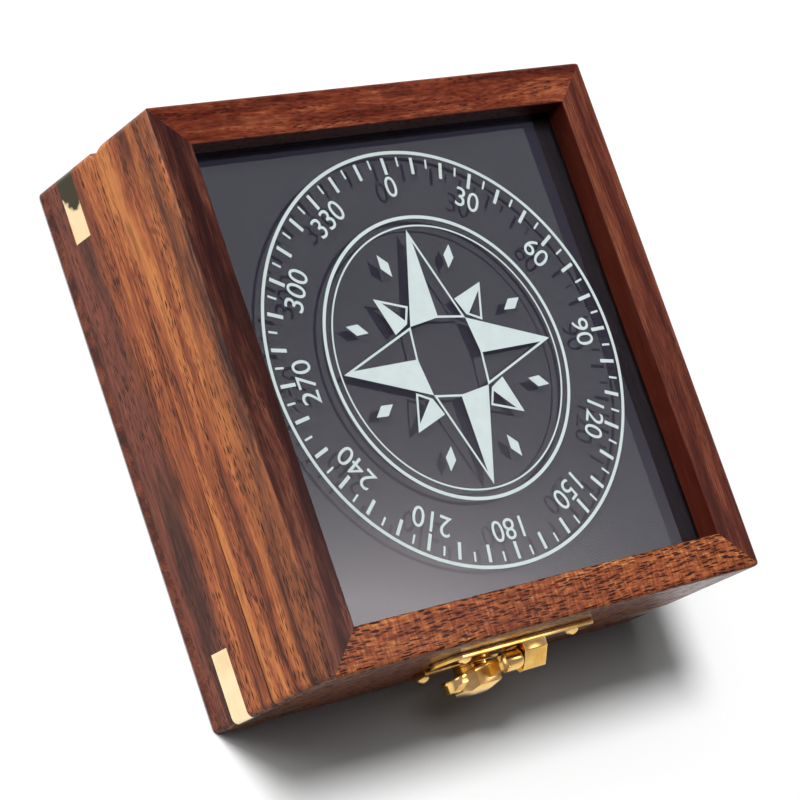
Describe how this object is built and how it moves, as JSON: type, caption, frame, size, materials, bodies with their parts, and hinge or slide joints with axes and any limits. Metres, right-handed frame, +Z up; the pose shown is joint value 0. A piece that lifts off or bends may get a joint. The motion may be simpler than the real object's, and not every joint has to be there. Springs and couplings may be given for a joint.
{
  "type": "magnetic compass",
  "caption": "Gimballed dry card compass in a square hinged wooden case with a sunk printed glass in the lid, a brass swing catch and brass corner straps.",
  "frame": {"origin": "centre of the case's flat underside, under the middle of the compass", "axes": "+Z up through the lid's glass; -Y is the front with the catch; +Y is the rear with the hinges; +X is to the right seen from the front"},
  "size_m": [0.114, 0.1216, 0.0425],
  "materials": {
    "rosewood_board": "satin lacquer",
    "screw_brass": "polished",
    "rosewood_across": "satin lacquer, grain left to right",
    "rosewood_along": "satin lacquer, grain front to rear",
    "inlay_brass": "polished flush",
    "lining_felt": "felt",
    "window_glass": "clear, with a white print",
    "black_velvet": "velvet pile",
    "dark_wood": "dark stain",
    "fitting_brass": "polished",
    "catch_brass": "polished",
    "instrument_brass": "turned and lacquered",
    "lead_weight": "dull",
    "gasket_rubber": "matte",
    "compass_glass": "clear",
    "black_mark": "matte black",
    "needle_steel": "hardened point",
    "card_face": "printed",
    "magnet_steel": "blued",
    "ruby": "polished jewel"
  },
  "bodies": {
    "case": {"bottom_board": "rosewood_board", "bottom_pins": "screw_brass", "base_wall_front": "rosewood_across", "base_wall_rear": "rosewood_across", "base_wall_left": "rosewood_along", "base_wall_right": "rosewood_along", "corner_strap_front_left": "inlay_brass", "corner_strap_front_right": "inlay_brass", "corner_strap_rear_left": "inlay_brass", "corner_strap_rear_right": "inlay_brass", "floor_lining": "lining_felt", "hinge_base_leaf_left": "fitting_brass", "hinge_base_leaf_right": "fitting_brass", "hinge_pin_left": "fitting_brass", "hinge_pin_right": "fitting_brass", "hinge_base_screws": "screw_brass", "catch_base_plate": "catch_brass", "catch_base_screws": "screw_brass", "catch_rivet": "catch_brass", "gimbal_bracket_left": "fitting_brass", "gimbal_bracket_right": "fitting_brass", "bracket_screws": "screw_brass"},
    "lid": {"lid_rail_front": "rosewood_across", "lid_rail_rear": "rosewood_across", "lid_rail_left": "rosewood_along", "lid_rail_right": "rosewood_along", "lid_glass": "window_glass", "velvet_sheet": "black_velvet", "backing_board": "dark_wood", "glass_bead_front": "dark_wood", "glass_bead_rear": "dark_wood", "glass_bead_left": "dark_wood", "glass_bead_right": "dark_wood", "bead_brads": "screw_brass", "hinge_lid_leaf_left": "fitting_brass", "hinge_lid_leaf_right": "fitting_brass", "hinge_lid_screws": "screw_brass", "catch_lid_plate": "catch_brass", "catch_lid_screws": "screw_brass"},
    "catch_lever": {"catch_lever": "catch_brass"},
    "gimbal_ring": {"gimbal_ring": "instrument_brass", "outer_trunnions": "screw_brass", "inner_trunnions": "screw_brass"},
    "bowl": {"compass_bowl": "instrument_brass", "balance_weight": "lead_weight", "bowl_gasket": "gasket_rubber", "bowl_glass": "compass_glass", "bezel_ring": "instrument_brass", "bezel_screws": "screw_brass", "lubber_pointer": "black_mark", "pivot_post": "instrument_brass", "pivot_point": "needle_steel"},
    "card": {"compass_card": "card_face", "magnet_bar": "magnet_steel", "card_cap": "instrument_brass", "cap_jewel": "ruby"}
  },
  "joints": [
    {"name": "lid_hinge", "type": "hinge", "parent": "case", "child": "lid", "pos_m": [0, 0.0548, 0.022], "axis": [-1, 0, 0], "range_deg": [0, 102]},
    {"name": "catch_swing", "type": "hinge", "parent": "case", "child": "catch_lever", "pos_m": [0, -0.06, 0.0115], "axis": [0, -1, 0], "range_deg": [0, 45]},
    {"name": "gimbal_ring_tilt", "type": "hinge", "parent": "case", "child": "gimbal_ring", "pos_m": [0, 0, 0.019], "axis": [1, 0, 0], "range_deg": [-10, 10]},
    {"name": "bowl_tilt", "type": "hinge", "parent": "gimbal_ring", "child": "bowl", "pos_m": [0, 0, 0.019], "axis": [0, 1, 0], "range_deg": [-10, 10]},
    {"name": "card_turn", "type": "hinge", "parent": "bowl", "child": "card", "pos_m": [0, 0, 0.0174], "axis": [0, 0, 1], "continuous": true}
  ]
}
